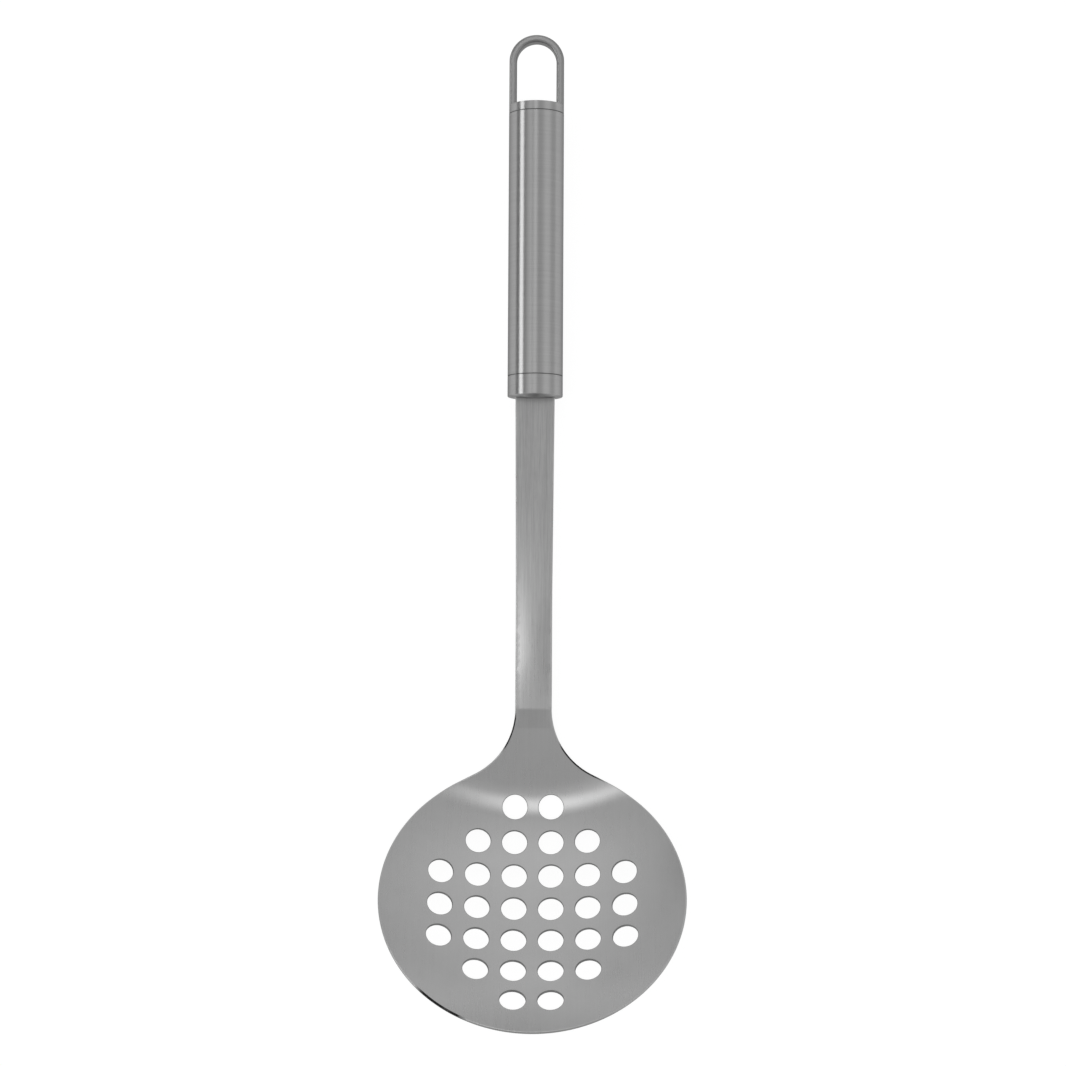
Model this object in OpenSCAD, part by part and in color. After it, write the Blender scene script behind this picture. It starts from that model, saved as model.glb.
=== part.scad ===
// Kitchen skimmer: a perforated bowl on a flat stem, held in a round hollow handle with a hanging loop.
// Millimetres. The tool lies on a table with its hollow side up: +Y points to the loop, +Z up.
// Each piece is drawn with the handle axis on Y and the front face of the front cap at y = 0,
// and is then laid down on the front cap's edge and the back of the bowl.

/* [Bowl] */
// Diameter across the rim
bowl_d = 107.5; // [96:0.5:124]
// Radius of the hollow, at mid thickness
bowl_r = 150; // [120:1:200]
// Angle between the rim and the handle axis
bowl_tilt = 35; // [28:0.5:42]
// Thickness of the pressed sheet
sheet_t = 1; // [0.8:0.1:1.6]

/* [Drain holes] */
// Diameter of one hole
hole_d = 9; // [6:0.25:10]
// Distance between neighbouring hole centres
hole_pitch = 13; // [12:0.25:15]
// Least plain border between a hole and the rim
hole_border = 9; // [6:0.25:14]

/* [Neck] */
// Length of the flat neck, from the stem's crease to the bowl's bend
neck_len = 26; // [20:0.5:36]
// Angle by which the neck leans back from the stem
neck_lean = 9; // [4:0.5:14]
// Radius of the bend from neck to bowl, at mid thickness
bend_r = 25; // [16:1:36]
// How far inside the rim the bend starts
bend_inset = 18; // [12:0.5:24]
// Width across the shoulders, where the flares of the neck run into the rim
shoulder_w = 60; // [54:0.5:68]
// Slope of the shoulders, seen from above
shoulder_slope = 26.5; // [24:0.5:30]

/* [Stem] */
// Free length, from the handle to the crease
stem_len = 112; // [80:1:150]
// Thickness
stem_t = 2; // [1.6:0.1:3]
// Width at the handle
stem_w = 14.2; // [11:0.1:15.5]
// Width at the waist, next to the neck
waist_w = 13.1; // [10:0.1:15]
// Length of the narrow stretch above the crease
waist_len = 42; // [20:1:70]
// Length over which the stem thins to the sheet, below the crease
thinning_len = 7; // [4:0.5:12]
// Length of the tang inside the handle
tang_len = 32; // [20:1:60]

/* [Handle] */
// Outer diameter of the handle
handle_d = 20; // [18:0.5:25]
// Length of the tube
tube_len = 96; // [70:1:130]
// Wall of the tube
tube_wall = 0.8; // [0.6:0.1:1.2]
// Visible length of the front cap
front_cap_len = 8; // [5:0.5:14]
// Visible length of the rear cap
rear_cap_len = 3.2; // [2.4:0.1:6]
// Thickness of the front cap's floor, which carries the stem
cap_floor_t = 4; // [3:0.5:5]
// Wall of the caps' spigots inside the tube
spigot_wall = 1.2; // [0.8:0.1:2]
// Length of the caps' spigots inside the tube
spigot_len = 7; // [4:0.5:12]
// Rounding of the front cap's outer edge
cap_edge_r = 0.8; // [0.3:0.1:1.5]
// Depth of the fine groove at each seam
seam_groove = 0.2; // [0.1:0.05:0.4]
// Clearance of each piece in its seat
fit_clear = 0.05; // [0.02:0.01:0.15]

/* [Hanging loop] */
// Height of the loop above the rear cap
loop_rise = 26; // [20:0.5:40]
// Thickness of the loop's strap, seen from the front
loop_t = 2.8; // [2:0.1:4]
// Depth of the loop's strap
loop_depth = 5; // [3:0.1:6.5]
// Rounding of the strap's edges
loop_edge_r = 0.8; // [0.3:0.1:0.9]

/* [Hidden] */
$fn = 96;

rim_r = bowl_d / 2;
handle_r = handle_d / 2;
tube_bore_r = handle_r - tube_wall;
spigot_r = tube_bore_r - fit_clear;

// Places along the handle axis
tube_start = front_cap_len;
tube_end = tube_start + tube_len;
handle_end = tube_end + rear_cap_len;
loop_top = handle_end + loop_rise;
loop_centre = loop_top - handle_r;

// The bowl, the bend and the flat neck are one turned form about an axis square to the neck.
// bend_turn is the angle that the bend covers, bend_axis_r its distance from that axis.
bend_turn = bowl_tilt + neck_lean - asin((rim_r - bend_inset) / bowl_r);
bend_axis_r = (bowl_r - bend_r) * sin(bend_turn);
sphere_rise = bend_r + (bowl_r - bend_r) * cos(bend_turn);
rim_turn = bowl_tilt + neck_lean + asin(rim_r / bowl_r);

// Places in the side view: the turning axis at the neck, the bowl's centre and the bend's centre
crease_y = -stem_len;
axis_y = crease_y + (bend_axis_r - neck_len) * cos(neck_lean);
axis_z = (bend_axis_r - neck_len) * sin(neck_lean);
sphere_y = axis_y - sphere_rise * sin(neck_lean);
sphere_z = axis_z + sphere_rise * cos(neck_lean);
bend_y = axis_y - bend_axis_r * cos(neck_lean) - bend_r * sin(neck_lean);
bend_z = axis_z - bend_axis_r * sin(neck_lean) + bend_r * cos(neck_lean);

// The flares, seen from above: an arc from the stem's edge at the crease, then a straight run to the rim.
// The arc touches both the stem's edge and the straight run, which gives its radius.
shoulder_x = shoulder_w / 2;
shoulder_y = shoulder_place(shoulder_x, 0, 6);
flare_spread = shoulder_x - waist_w / 2;
flare_drop = crease_y - shoulder_y;
flare_r = (flare_drop * cos(shoulder_slope) - flare_spread * sin(shoulder_slope)) / (1 - sin(shoulder_slope));

// The attitude on a table: one line under the front cap's rounded edge and the back of the bend
cap_foot_y = cap_edge_r;
cap_foot_z = cap_edge_r - handle_r;
bend_back_r = bend_r + sheet_t / 2;
foot_reach = cap_foot_y - bend_y;
foot_rise = bend_z - cap_foot_z;
foot_span = sqrt(foot_reach * foot_reach + foot_rise * foot_rise);
rest_pitch = acos((bend_back_r - cap_edge_r) / foot_span) - atan2(foot_reach, foot_rise);
table_z = cap_foot_z * cos(rest_pitch) + cap_foot_y * sin(rest_pitch) - cap_edge_r;

// The ends of the whole tool as it lies, for an origin at the middle of its length
bowl_back_r = bowl_r + sheet_t / 2;
bowl_back_h = sqrt(bowl_back_r * bowl_back_r - rim_r * rim_r);
tip_y = sphere_y - rim_r * cos(bowl_tilt) - bowl_back_h * sin(bowl_tilt);
tip_z = sphere_z + rim_r * sin(bowl_tilt) - bowl_back_h * cos(bowl_tilt);
front_end_y = tip_y * cos(rest_pitch) - tip_z * sin(rest_pitch);
loop_round_y = loop_top - loop_edge_r;
loop_round_z = loop_depth / 2 - loop_edge_r;
rear_end_y = loop_round_y * cos(rest_pitch) + loop_round_z * sin(rest_pitch) + loop_edge_r;
middle_y = (front_end_y + rear_end_y) / 2;

// A length that reaches past every piece, for cutting tools
past = bowl_r + stem_len + handle_end;

// Lays a piece down on the table
module lying() {
    translate([0, -middle_y, -table_z])
        rotate([rest_pitch, 0, 0])
            children();
}

// Turns a form drawn along Z onto the handle axis, starting at the given place
module along_handle(start) {
    translate([0, start, 0])
        rotate([-90, 0, 0])
            children();
}

// Frame of the rim: origin at the bowl's centre of curvature, Z square to the rim
module rim_frame() {
    translate([0, sphere_y, sphere_z])
        rotate([-bowl_tilt, 0, 0])
            children();
}

// Frame of the neck: Z along the turning axis, -Y down the neck
module neck_frame() {
    translate([0, axis_y, axis_z])
        rotate([neck_lean, 0, 0])
            children();
}

// Height of the sheet over the neck's plane, at a distance from the turning axis
function sheet_rise(r) =
    let (into = r - bend_axis_r)
    into < 0
        ? 0
        : into < bend_r * sin(bend_turn)
            ? bend_r - sqrt(bend_r * bend_r - into * into)
            : sphere_rise - sqrt(bowl_r * bowl_r - r * r);

// Place along the handle of a point on the rim, from its distance beside the axis.
// The sheet's height there follows from the place, so both are found in a few rounds.
function shoulder_place(x, rise, rounds) =
    let (
        turn = bowl_tilt + neck_lean,
        up = sqrt(rim_r * rim_r - x * x),
        deep = (rise - sphere_rise + up * sin(turn)) / cos(turn),
        along = up * cos(turn) + deep * sin(turn)
    )
    rounds == 0
        ? axis_y + along * cos(neck_lean) - rise * sin(neck_lean)
        : shoulder_place(x, sheet_rise(sqrt(x * x + along * along)), rounds - 1);

// Point of the side section at a turn about the bowl's centre, measured from straight down
function at_turn(r, turn) = [r * sin(turn), sphere_rise - r * cos(turn)];

// Space above one face of the sheet, in section from the turning axis outwards: over the flat neck,
// inside the hollow, and with the corner between them rounded to the bend.
// The bend's circle is a hair too large, so that it crosses both neighbours.
module above_sheet(rise) {
    hair = 0.003;
    reach = 2 * bowl_r;
    difference() {
        intersection() {
            translate([0, rise])
                square(reach);
            translate([0, sphere_rise])
                circle(bowl_r - rise, $fn = 360);
        }
        translate([bend_axis_r, bend_r])
            difference() {
                polygon([[0, 0], [0, -reach], reach * [sin(bend_turn), -cos(bend_turn)]]);
                circle(bend_r - rise + hair, $fn = 360);
            }
    }
}

// Section of the pressed sheet: flat neck, bend and hollow, to a little past the rim
module sheet_section() {
    last_turn = rim_turn + 3;
    neck_start_r = bend_axis_r - neck_len;
    intersection() {
        difference() {
            above_sheet(-sheet_t / 2);
            above_sheet(sheet_t / 2);
        }
        polygon([
            [neck_start_r, -stem_t],
            [bowl_r, -stem_t],
            at_turn(bowl_r + rim_r, last_turn),
            at_turn(bowl_r - rim_r, last_turn),
            [neck_start_r, bend_r]
        ]);
    }
}

// The pressed sheet before it is trimmed to its outline, cut off in the thinning stretch of the stem
module pressed_sheet() {
    sector = 160;
    neck_frame()
        difference() {
            rotate([0, 0, -90 - sector / 2])
                rotate_extrude(angle = sector, $fn = 360)
                    sheet_section();
            translate([-past / 2, neck_len - bend_axis_r - thinning_len / 2, -past / 2])
                cube(past);
        }
}

// Tang, stem and thinning stretch, drawn in side view and extruded across
module stem_bar() {
    half = stem_t / 2;
    mitre = half * tan(neck_lean / 2);
    thin_y = crease_y - thinning_len * cos(neck_lean);
    thin_z = -thinning_len * sin(neck_lean);
    face_y = sheet_t / 2 * sin(neck_lean);
    face_z = sheet_t / 2 * cos(neck_lean);
    translate([-handle_r, 0, 0])
        rotate([90, 0, 90])
            linear_extrude(handle_d)
                polygon([
                    [tang_len, half],
                    [crease_y - mitre, half],
                    [thin_y - face_y, thin_z + face_z],
                    [thin_y + face_y, thin_z - face_z],
                    [crease_y + mitre, -half],
                    [tang_len, -half]
                ]);
}

// Outline of the stem and of the neck's blank, seen from above
module stem_outline() {
    blank_x = waist_w / 2 + 0.75 * flare_spread;
    polygon([
        [waist_w / 2, crease_y],
        [waist_w / 2, crease_y + waist_len],
        [stem_w / 2, 0],
        [stem_w / 2, tang_len + stem_t],
        [-stem_w / 2, tang_len + stem_t],
        [-stem_w / 2, 0],
        [-waist_w / 2, crease_y + waist_len],
        [-waist_w / 2, crease_y],
        [-blank_x, crease_y],
        [-blank_x, shoulder_y],
        [blank_x, shoulder_y],
        [blank_x, crease_y]
    ]);
}

// Space inside the blade's outline: round over the bowl, straight along the stem, hollowed by the flares.
// The arcs reach a hair into the stem's edges and the straight runs, so that they cross them.
module blade_space() {
    hair = 0.01;
    difference() {
        union() {
            rim_frame()
                translate([0, 0, -bowl_r - rim_r])
                    cylinder(h = bowl_r + rim_r, r = rim_r, $fn = 360);
            translate([0, 0, -rim_r])
                linear_extrude(2 * rim_r)
                    stem_outline();
        }
        for (side = [-1, 1])
            translate([side * (waist_w / 2 + flare_r), crease_y, -bowl_d])
                cylinder(h = 2 * bowl_d, r = flare_r + hair, $fn = 360);
        for (side = [-1, 1])
            translate([side * (waist_w / 2 + flare_r), crease_y, -bowl_d])
                rotate([0, 0, -side * shoulder_slope])
                    translate([side > 0 ? 0 : -flare_spread, -flare_r, 0])
                        cube([flare_spread, flare_r, 2 * bowl_d]);
    }
}

// Square grid of drills, aimed at the bowl's centre of curvature, inside the plain border
module hole_drills() {
    reach = rim_r - hole_border - hole_d / 2;
    steps = ceil(reach / hole_pitch);
    for (row = [-steps : steps])
        for (column = [0.5 - steps : steps - 0.5])
            let (x = column * hole_pitch, y = row * hole_pitch)
                if (sqrt(x * x + y * y) <= reach)
                    let (lift = asin(y / bowl_r), swing = asin(x / bowl_r / cos(lift)))
                        rotate([lift, -swing, 0])
                            translate([0, 0, -bowl_r - hole_d])
                                cylinder(h = 2 * hole_d, d = hole_d, $fn = 64);
}

// Bowl, neck, stem and tang, pressed from one strip of steel
module blade() {
    color("silver")
        lying()
            difference() {
                intersection() {
                    union() {
                        pressed_sheet();
                        stem_bar();
                    }
                    blade_space();
                }
                rim_frame()
                    hole_drills();
            }
}

// Section of a spigot from a seam into the tube, rooted in its cap
module spigot_section(root) {
    translate([spigot_r - spigot_wall, -root])
        square([spigot_wall, spigot_len + root]);
}

// Triangle that breaks an outer edge at a seam
module seam_cut() {
    polygon([[handle_r - seam_groove, 0], [handle_r + seam_groove, -2 * seam_groove],
        [handle_r + seam_groove, 0]]);
}

// Section of the front cap: rounded front edge, floor, shell and spigot
module front_cap_section() {
    pocket_r = spigot_r - spigot_wall;
    difference() {
        union() {
            square([handle_r - cap_edge_r, front_cap_len]);
            translate([0, cap_edge_r])
                square([handle_r, front_cap_len - cap_edge_r]);
            translate([handle_r - cap_edge_r, cap_edge_r])
                circle(cap_edge_r);
        }
        translate([0, cap_floor_t])
            square([pocket_r, front_cap_len]);
        translate([0, front_cap_len])
            seam_cut();
    }
    translate([0, front_cap_len])
        spigot_section(front_cap_len - cap_floor_t);
}

// Slotted cap that carries the stem and closes the front of the tube
module front_cap() {
    slot_w = stem_w + 2 * fit_clear;
    slot_t = stem_t + 2 * fit_clear;
    color("gainsboro")
        lying()
            difference() {
                along_handle(0)
                    rotate_extrude()
                        front_cap_section();
                translate([-slot_w / 2, -cap_floor_t / 2, -slot_t / 2])
                    cube([slot_w, 2 * cap_floor_t, slot_t]);
            }
}

// Plain tube with an edge broken at each end
module handle_tube() {
    color("lightgray")
        lying()
            along_handle(tube_start)
                rotate_extrude()
                    difference() {
                        translate([tube_bore_r, 0])
                            square([tube_wall, tube_len]);
                        translate([0, tube_len])
                            seam_cut();
                        mirror([0, 1])
                            seam_cut();
                    }
}

// Section of the rear cap, from its outer face inwards: disc and spigot
module rear_cap_section() {
    difference() {
        square([handle_r, rear_cap_len]);
        mirror([0, 1])
            seam_cut();
        translate([0, rear_cap_len])
            seam_cut();
    }
    translate([0, rear_cap_len])
        spigot_section(rear_cap_len / 2);
}

// Notched cap that closes the rear of the tube and takes the loop's legs
module rear_cap() {
    notch_x = handle_r - loop_t - fit_clear;
    notch_w = loop_depth + 2 * fit_clear;
    color("gainsboro")
        lying()
            difference() {
                translate([0, handle_end, 0])
                    rotate([90, 0, 0])
                        rotate_extrude()
                            rear_cap_section();
                for (side = [0, 1])
                    mirror([side, 0, 0])
                        translate([notch_x, tube_end, -notch_w / 2])
                            cube([handle_r, 2 * rear_cap_len, notch_w]);
            }
}

// Section of the loop's strap, rounded at its four edges, at its place beside the axis
module strap_section() {
    inner_t = loop_t - 2 * loop_edge_r;
    inner_depth = loop_depth - 2 * loop_edge_r;
    translate([handle_r - loop_t / 2, 0]) {
        square([loop_t, inner_depth], center = true);
        square([inner_t, loop_depth], center = true);
        for (x = [-0.5, 0.5], y = [-0.5, 0.5])
            translate([x * inner_t, y * inner_depth])
                circle(loop_edge_r);
    }
}

// Strap bent to a U, its legs ground flush with the handle
module hanging_loop() {
    color("silver")
        lying()
            intersection() {
                union() {
                    translate([0, loop_centre, 0])
                        rotate_extrude(angle = 180)
                            strap_section();
                    for (side = [0, 1])
                        mirror([side, 0, 0])
                            along_handle(tube_end)
                                linear_extrude(loop_centre - tube_end)
                                    strap_section();
                }
                along_handle(tube_end)
                    cylinder(h = rear_cap_len + 2 * loop_rise, r = handle_r);
            }
}

blade();
front_cap();
handle_tube();
rear_cap();
hanging_loop();
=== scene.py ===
"""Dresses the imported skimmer: a pressed, perforated blade in a hollow steel handle with a hanging loop.

Sizes are in millimetres, angles in degrees. Each piece is drawn in the tool's own frame, with the handle
axis on Y and the front face of the front cap at y = 0, and is then laid down as the solids lie.
"""

import logging
import math
from dataclasses import dataclass, field
from enum import Enum

import bpy
import numpy as np
from mathutils import Euler, Matrix, Vector
from mathutils.geometry import delaunay_2d_cdt


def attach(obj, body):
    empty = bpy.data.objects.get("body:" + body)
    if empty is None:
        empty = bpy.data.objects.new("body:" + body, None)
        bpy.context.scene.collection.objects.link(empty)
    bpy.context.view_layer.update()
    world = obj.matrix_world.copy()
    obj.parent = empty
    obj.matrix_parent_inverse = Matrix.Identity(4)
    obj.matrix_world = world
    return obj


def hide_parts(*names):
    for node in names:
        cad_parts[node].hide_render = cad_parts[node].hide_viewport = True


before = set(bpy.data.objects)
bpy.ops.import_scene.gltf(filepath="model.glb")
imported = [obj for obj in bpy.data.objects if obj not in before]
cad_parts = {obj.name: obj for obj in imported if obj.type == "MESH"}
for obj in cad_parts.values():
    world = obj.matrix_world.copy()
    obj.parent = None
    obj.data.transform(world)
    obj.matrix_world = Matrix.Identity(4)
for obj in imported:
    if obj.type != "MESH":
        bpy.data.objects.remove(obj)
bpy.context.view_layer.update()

MM = 0.001
BODY = "root"
GRAIN = "grain"
# Edge marks: rubbing and dark seams, and on the blade painted shade, painted highlight and painted dark
# reflections.
WEAR_AND_PAINTED_LIGHT = "wear_and_painted_light"
SAME_SPOT = 1e-6
log = logging.getLogger("skimmer")


# Meshes


class Shell:
    """Points with their normals, grain coordinates and edge marks, gathered into one mesh piece."""

    def __init__(self, name: str) -> None:
        """Starts an empty piece.

        Args:
            name: Name of the piece.
        """
        self.name = name
        self.points: list[np.ndarray] = []
        self.normals: list[np.ndarray] = []
        self.grain: list[np.ndarray] = []
        self.marks: list[np.ndarray] = []
        self.faces: list[tuple[int, ...]] = []
        self.count = 0

    def add(self, points: np.ndarray, normals: np.ndarray, grain: np.ndarray,
            mark: float | np.ndarray = 0.0) -> np.ndarray:
        """Adds points.

        Args:
            points: Places.
            normals: Surface normals at the places.
            grain: Distance across the grain, and along it.
            mark: Above 0 for rubbed, bright steel and for painted highlight, below 0 for dull steel, dark
                seams, painted shade and painted dark reflections, for all or for each.

        Returns:
            The indices of the new points.
        """
        self.points.append(np.asarray(points, float))
        self.normals.append(np.asarray(normals, float))
        self.grain.append(np.asarray(grain, float))
        self.marks.append(np.full(len(points), mark, float))
        first = self.count
        self.count += len(points)
        return np.arange(first, self.count)

    def bridge(self, rows: list[np.ndarray], closed: bool) -> None:
        """Joins each row of points to the next with quads.

        Args:
            rows: Indices of the rows, as many in each.
            closed: Whether the rows run round to their start.
        """
        for one, other in zip(rows, rows[1:]):
            steps = len(one) if closed else len(one) - 1
            for i in range(steps):
                j = (i + 1) % len(one)
                self.faces.append((one[i], one[j], other[j], other[i]))

    def fill(self, ids: np.ndarray, net: np.ndarray) -> None:
        """Adds the triangles of a net over the given points."""
        self.faces += [tuple(triangle) for triangle in ids[net]]

    def turned_faces(self, points: np.ndarray, normals: np.ndarray) -> list[list[int]]:
        """Turns the faces the way of their normals, and drops points that fall on one spot.

        Args:
            points: All points of the piece.
            normals: Their normals.

        Returns:
            The faces, as lists of indices.
        """
        faces = []
        for face in self.faces:
            ring = points[list(face)]
            keep = [i for i in range(len(face)) if np.linalg.norm(ring[i] - ring[i - 1]) > SAME_SPOT]
            if len(keep) < 3:
                continue
            across = np.cross(ring[keep[1]] - ring[keep[0]], ring[keep[2]] - ring[keep[0]])
            away = float(across @ normals[list(face)].sum(axis=0)) < 0
            kept = [int(face[i]) for i in keep]
            faces.append(kept[::-1] if away else kept)
        return faces

    def make(self, place: Matrix, material: bpy.types.Material) -> bpy.types.Object:
        """Makes the mesh object.

        Args:
            place: Where the piece goes, in metres.
            material: Finish of the piece.

        Returns:
            The new object.
        """
        turn, shift = np.array(place.to_3x3()), np.array(place.translation) / MM
        points = np.vstack(self.points) @ turn.T + shift
        normals = np.vstack(self.normals) @ turn.T
        normals /= np.linalg.norm(normals, axis=1)[:, None]
        mesh = bpy.data.meshes.new(self.name)
        mesh.from_pydata((points * MM).tolist(), [], self.turned_faces(points, normals))
        mesh.polygons.foreach_set("use_smooth", [True] * len(mesh.polygons))
        corner = np.empty(len(mesh.loops), int)
        mesh.loops.foreach_get("vertex_index", corner)
        layer = mesh.uv_layers.new(name=GRAIN)
        layer.data.foreach_set("uv", (np.vstack(self.grain)[corner] * MM).ravel())
        wear_and_painted_light = mesh.attributes.new(WEAR_AND_PAINTED_LIGHT, "FLOAT", "POINT")
        wear_and_painted_light.data.foreach_set("value", np.concatenate(self.marks))
        mesh.normals_split_custom_set_from_vertices(normals.tolist())
        mesh.materials.append(material)
        piece = bpy.data.objects.new(self.name, mesh)
        bpy.context.scene.collection.objects.link(piece)
        return piece


def rounding(spot: np.ndarray, before: np.ndarray, after: np.ndarray, radius: float,
             steps: int) -> list[tuple[np.ndarray, np.ndarray]]:
    """Rounds one corner of a path.

    Args:
        spot: The corner.
        before: Normal of the run that comes to it.
        after: Normal of the run that leaves it.
        radius: Radius of the rounding.
        steps: Runs in the rounding.

    Returns:
        Points with their normals.
    """
    turn = math.atan2(before[0] * after[1] - before[1] * after[0], float(before @ after))
    reach = math.copysign(radius, turn)
    centre = spot - reach * (before + after) / (1.0 + float(before @ after))
    arc = []
    for k in range(steps + 1):
        c, s = math.cos(turn * k / steps), math.sin(turn * k / steps)
        normal = np.array([before[0] * c - before[1] * s, before[0] * s + before[1] * c])
        arc.append((centre + reach * normal, normal))
    return arc


def rounded_path(corners: list[tuple[float, ...]],
                 steps: int = 6) -> tuple[np.ndarray, np.ndarray, np.ndarray]:
    """Draws a path of straight runs with rounded corners, its outer side on the right.

    Args:
        corners: Two coordinates, a rounding radius and an edge mark for each corner. A radius of 0 leaves a
            sharp corner, and a missing mark is 0.
        steps: Runs in each rounding.

    Returns:
        The points, their normals and their marks. A sharp corner has one point for each of its two runs.
    """
    spots = [np.array(corner[:2], float) for corner in corners]
    ways = [(b - a) / np.linalg.norm(b - a) for a, b in zip(spots, spots[1:])]
    sides = [np.array([way[1], -way[0]]) for way in ways]
    path: list[tuple[np.ndarray, np.ndarray]] = []
    marks: list[float] = []
    for i, (spot, corner) in enumerate(zip(spots, corners)):
        before, after = sides[max(i - 1, 0)], sides[min(i, len(sides) - 1)]
        if i in (0, len(sides)):
            arc = [(spot, before)]
        elif corner[2] <= 0:
            arc = [(spot, before), (spot, after)]
        else:
            arc = rounding(spot, before, after, corner[2], steps)
        mark = corner[3] if len(corner) > 3 else 0.0
        path += arc
        marks += [0.0] + [mark] * (len(arc) - 2) + [0.0] * min(len(arc) - 1, 1)
    return np.array([p for p, _ in path]), np.array([n for _, n in path]), np.array(marks)


def stood(flat: np.ndarray, along: float) -> np.ndarray:
    """Stands a ring that is drawn across the handle axis at a place along that axis."""
    return np.c_[flat[:, 0], np.full(len(flat), along), flat[:, 1]]


def eased_low(one: np.ndarray, other: np.ndarray, soft: float) -> np.ndarray:
    """Gives the lower of two heights, with the fold between them eased over a small depth."""
    return np.minimum(one, other) - soft * np.log1p(np.exp(-np.abs(one - other) / soft))


def inside(spots: np.ndarray, ring: np.ndarray) -> np.ndarray:
    """Tells which spots lie inside a closed ring.

    Args:
        spots: Places in the plane.
        ring: Corners of the ring, in order.

    Returns:
        One truth value for each spot.
    """
    result = np.zeros(len(spots), bool)
    for a, b in zip(ring, np.roll(ring, -1, axis=0)):
        level = (a[1] > spots[:, 1]) != (b[1] > spots[:, 1])
        if level.any():
            cross = (b[0] - a[0]) * (spots[level, 1] - a[1]) / (b[1] - a[1]) + a[0]
            result[level] ^= spots[level, 0] < cross
    return result


def filled(points: np.ndarray, loops: list[np.ndarray]) -> np.ndarray:
    """Fills the inside of a closed loop, less its holes, with triangles over all the points.

    Args:
        points: Places in the plane, the loops' own and the free ones.
        loops: Indices around the outline, then around each hole.

    Returns:
        The triangles, as rows of three indices.
    """
    merge_within = 1e-7
    runs = [(int(a), int(b)) for loop in loops for a, b in zip(loop, np.roll(loop, -1))]
    spots = [Vector((float(p[0]), float(p[1]))) for p in points]
    out = delaunay_2d_cdt(spots, runs, [], 0, merge_within, True)
    own = [ids[0] if ids else -1 for ids in out[3]]
    triangles = np.array([[own[i] for i in face] for face in out[2]])
    triangles = triangles[(triangles >= 0).all(axis=1)]
    middles = points[triangles].mean(axis=1)
    keep = inside(middles, points[loops[0]])
    for hole in loops[1:]:
        keep &= ~inside(middles, points[hole])
    return triangles[keep]


# Finishes


def plain_grey(value: float) -> tuple[float, float, float, float]:
    """Gives a grey as a colour."""
    return (value, value, value, 1.0)


class Wiring:
    """A node tree, with short ways to add to it."""

    def __init__(self, tree: bpy.types.NodeTree) -> None:
        """Takes the tree of a material, a group or the world."""
        self.tree = tree

    def feed(self, node: bpy.types.Node, inputs: dict[str | int, object]) -> None:
        """Sets or links inputs of a node.

        Args:
            node: The node.
            inputs: Name or place of each socket, with the value or the socket that feeds it.
        """
        for key, value in inputs.items():
            if isinstance(value, bpy.types.NodeSocket):
                self.tree.links.new(value, node.inputs[key])
            else:
                node.inputs[key].default_value = value

    def add(self, kind: str, inputs: dict[str | int, object] | None = None,
            **settings: object) -> bpy.types.Node:
        """Adds a node.

        Args:
            kind: Blender's name of the shader node, without its first part.
            inputs: Its inputs, as for feed.
            settings: Properties of the node, set before its inputs.

        Returns:
            The new node.
        """
        node = self.tree.nodes.new(f"ShaderNode{kind}")
        for name, value in settings.items():
            setattr(node, name, value)
        self.feed(node, inputs or {})
        return node

    def math(self, kind: str, *values: object) -> bpy.types.NodeSocket:
        """Adds an operation on numbers or sockets, by Blender's name, and gives the socket of its result."""
        return self.add("Math", dict(enumerate(values)), operation=kind).outputs[0]

    def total(self, *values: object) -> bpy.types.NodeSocket:
        """Adds up numbers or sockets.

        Args:
            values: Two or more of them.

        Returns:
            The socket of the result.
        """
        result = values[0]
        for value in values[1:]:
            result = self.math("ADD", result, value)
        return result

    def scaled(self, value: object, factor: object, middle: float = 0.0) -> bpy.types.NodeSocket:
        """Scales a number or socket about a middle, which comes out as 0."""
        moved = self.math("SUBTRACT", value, middle) if middle else value
        return self.math("MULTIPLY", moved, factor)

    def noise(self, place: bpy.types.NodeSocket, scale: float, detail: float = 2.0) -> bpy.types.NodeSocket:
        """Adds a noise over a coordinate, and gives the socket of its value."""
        return self.add("TexNoise", {"Vector": place, "Scale": scale, "Detail": detail}).outputs[0]


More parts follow.
